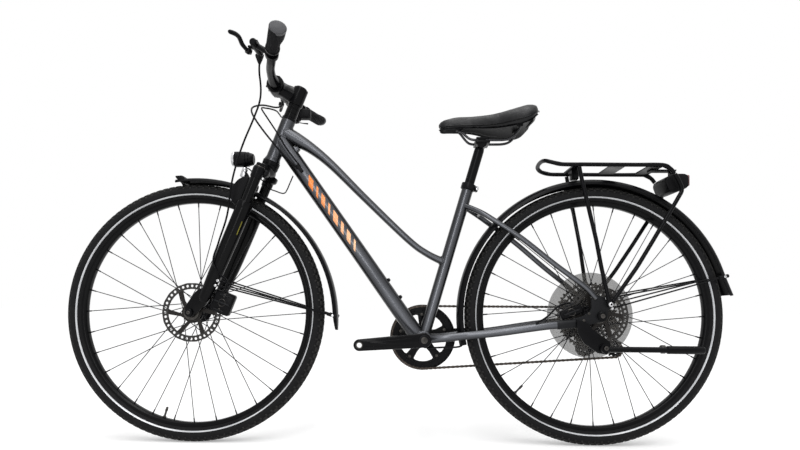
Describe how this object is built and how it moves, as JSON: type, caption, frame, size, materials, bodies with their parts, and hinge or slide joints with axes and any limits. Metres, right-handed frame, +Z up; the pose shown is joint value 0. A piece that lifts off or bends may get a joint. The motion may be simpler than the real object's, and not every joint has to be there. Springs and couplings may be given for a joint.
{
  "type": "trekking bicycle",
  "caption": "Step-through trekking bicycle with suspension fork, disc brakes, fenders, rear rack, lamps and kickstand; steering, wheels, drive and controls move.",
  "frame": {"origin": "on the ground, half way along the bike and in its middle plane", "axes": "+Z up, -X ahead (the way the bike rides), -Y the bike's left side"},
  "size_m": [1.8322, 0.6664, 1.0251],
  "materials": {
    "frame_paint": "satin grey paint",
    "black_alloy": "satin black",
    "black_plastic": "moulded",
    "disc_steel": "brushed",
    "drive_steel": "worn",
    "tyre_rubber": "matt tread",
    "grip_rubber": "matt",
    "cable_cover": "smooth",
    "saddle_cover": "grained",
    "red_lens": "clear red"
  },
  "bodies": {
    "frame": {"head_tube": "frame_paint", "top_tube": "frame_paint", "down_tube": "frame_paint", "seat_tube": "frame_paint", "bottom_bracket_shell": "frame_paint", "seat_clamp": "black_alloy", "left_rear_stays": "frame_paint", "right_rear_stays": "frame_paint", "rear_brake_caliper": "black_alloy", "kickstand_bracket": "black_alloy", "rear_fender": "black_plastic", "rack_deck": "black_alloy", "rack_left_side": "black_alloy", "rack_right_side": "black_alloy", "tail_light": "red_lens", "rear_axle": "black_alloy", "chain": "drive_steel", "derailleur_base": "black_alloy", "rear_brake_hose": "cable_cover", "lower_brake_hose": "cable_cover", "dynamo_wire": "cable_cover"},
    "steering": {"fork_crown": "black_alloy", "stem": "black_alloy", "handlebar": "black_alloy", "left_grip": "grip_rubber", "right_grip": "grip_rubber", "left_brake_body": "black_plastic", "right_brake_body": "black_plastic", "front_cable_loops": "cable_cover"},
    "fork_slider": {"fork_lowers": "black_alloy", "front_brake_caliper": "black_alloy", "front_fender": "black_plastic", "front_axle": "black_alloy", "front_brake_hose": "cable_cover"},
    "lamp": {"headlight": "black_plastic"},
    "front_wheel": {"front_tyre": "tyre_rubber", "front_rim": "black_alloy", "front_hub": "black_alloy", "front_rotor": "disc_steel"},
    "rear_wheel": {"rear_tyre": "tyre_rubber", "rear_rim": "black_alloy", "rear_hub": "black_alloy", "rear_rotor": "disc_steel", "spoke_protector": "black_plastic"},
    "sprockets": {"cassette": "drive_steel"},
    "crankset": {"left_crank": "black_alloy", "right_crank": "black_alloy", "chainring": "black_alloy"},
    "left_lever": {"left_brake_lever": "black_alloy"},
    "right_lever": {"right_brake_lever": "black_alloy"},
    "shifter": {"shift_lever": "black_plastic"},
    "seat": {"seatpost": "black_alloy", "saddle_rails": "disc_steel", "saddle": "saddle_cover"},
    "stand": {"kickstand_leg": "black_alloy"},
    "mech_link": {"derailleur_link": "black_plastic"},
    "mech_knuckle": {"derailleur_knuckle": "black_plastic"},
    "mech_cage": {"derailleur_cage": "black_alloy"},
    "upper_jockey": {"guide_pulley": "black_plastic"},
    "lower_jockey": {"tension_pulley": "black_plastic"}
  },
  "joints": [
    {"name": "steering_turn", "type": "hinge", "parent": "frame", "child": "steering", "pos_m": [-0.52779, 0, 0.34209], "axis": [0.3616, 0, 0.9323], "range_deg": [-60, 60], "deforming": ["front_cable_loops", "dynamo_wire"]},
    {"name": "fork_travel", "type": "slide", "parent": "steering", "child": "fork_slider", "axis": [0.3616, 0, 0.9323], "range_m": [0, 0.05], "stiffness_N_per_m": 7000, "springref_m": -0.03, "deforming": ["front_brake_hose", "dynamo_wire"]},
    {"name": "headlight_tilt", "type": "hinge", "parent": "fork_slider", "child": "lamp", "pos_m": [-0.43443, 0, 0.75422], "axis": [0, 1, 0], "range_deg": [-15, 15], "deforming": ["dynamo_wire"]},
    {"name": "front_wheel_spin", "type": "hinge", "parent": "fork_slider", "child": "front_wheel", "pos_m": [-0.56107, 0, 0.355], "axis": [0, 1, 0], "continuous": true},
    {"name": "rear_wheel_spin", "type": "hinge", "parent": "frame", "child": "rear_wheel", "pos_m": [0.53483, 0, 0.355], "axis": [0, 1, 0], "continuous": true},
    {"name": "crank_spin", "type": "hinge", "parent": "frame", "child": "crankset", "pos_m": [0.0671, 0, 0.288], "axis": [0, 1, 0], "continuous": true},
    {"name": "cassette_spin", "type": "hinge", "parent": "frame", "child": "sprockets", "pos_m": [0.53483, 0, 0.355], "axis": [0, 1, 0], "continuous": true},
    {"name": "left_lever_pull", "type": "hinge", "parent": "steering", "child": "left_lever", "pos_m": [-0.37669, -0.187, 1.00511], "axis": [0.2319, 0, 0.9727], "range_deg": [0, 22], "stiffness_Nm_per_rad": 0.6, "springref_deg": -14.9},
    {"name": "right_lever_pull", "type": "hinge", "parent": "steering", "child": "right_lever", "pos_m": [-0.37669, 0.187, 1.00511], "axis": [0.2319, 0, 0.9727], "range_deg": [-22, 0], "stiffness_Nm_per_rad": 0.6, "springref_deg": 14.9},
    {"name": "shift_push", "type": "hinge", "parent": "steering", "child": "shifter", "pos_m": [-0.32869, 0.184, 0.94911], "axis": [0, 0, 1], "range_deg": [-25, 0], "stiffness_Nm_per_rad": 0.2, "springref_deg": 14.9},
    {"name": "seatpost_slide", "type": "slide", "parent": "frame", "child": "seat", "axis": [0.279, 0, 0.9603], "range_m": [-0.08, 0.06]},
    {"name": "kickstand_swing", "type": "hinge", "parent": "frame", "child": "stand", "pos_m": [0.53483, -0.0955, 0.272], "axis": [-0.1191, 0.9929, 0], "range_deg": [0, 100]},
    {"name": "derailleur_swing", "type": "hinge", "parent": "frame", "child": "mech_link", "pos_m": [0.56483, 0.0905, 0.303], "axis": [0, 0.7071, -0.7071], "range_deg": [-40, 0], "stiffness_Nm_per_rad": 1, "springref_deg": 9.74, "deforming": ["chain"]},
    {"name": "knuckle_swing", "type": "hinge", "parent": "mech_link", "child": "mech_knuckle", "pos_m": [0.52083, 0.0905, 0.289], "axis": [0, 0.7071, -0.7071], "range_deg": [0, 40]},
    {"name": "cage_swing", "type": "hinge", "parent": "mech_knuckle", "child": "mech_cage", "pos_m": [0.52283, 0.0605, 0.275], "axis": [0, 1, 0], "range_deg": [-8, 50], "stiffness_Nm_per_rad": 0.5, "springref_deg": -14.9, "deforming": ["chain"]},
    {"name": "upper_jockey_spin", "type": "hinge", "parent": "mech_cage", "child": "upper_jockey", "pos_m": [0.52983, 0.0605, 0.262], "axis": [0, 1, 0], "continuous": true},
    {"name": "lower_jockey_spin", "type": "hinge", "parent": "mech_cage", "child": "lower_jockey", "pos_m": [0.61683, 0.0605, 0.2575], "axis": [0, 1, 0], "continuous": true}
  ],
  "couplings": [
    {"joint": "cassette_spin", "follows": "crank_spin", "ratio": 4},
    {"joint": "lower_jockey_spin", "follows": "crank_spin", "ratio": 4},
    {"joint": "upper_jockey_spin", "follows": "crank_spin", "ratio": -4},
    {"joint": "knuckle_swing", "follows": "derailleur_swing", "ratio": -1}
  ]
}
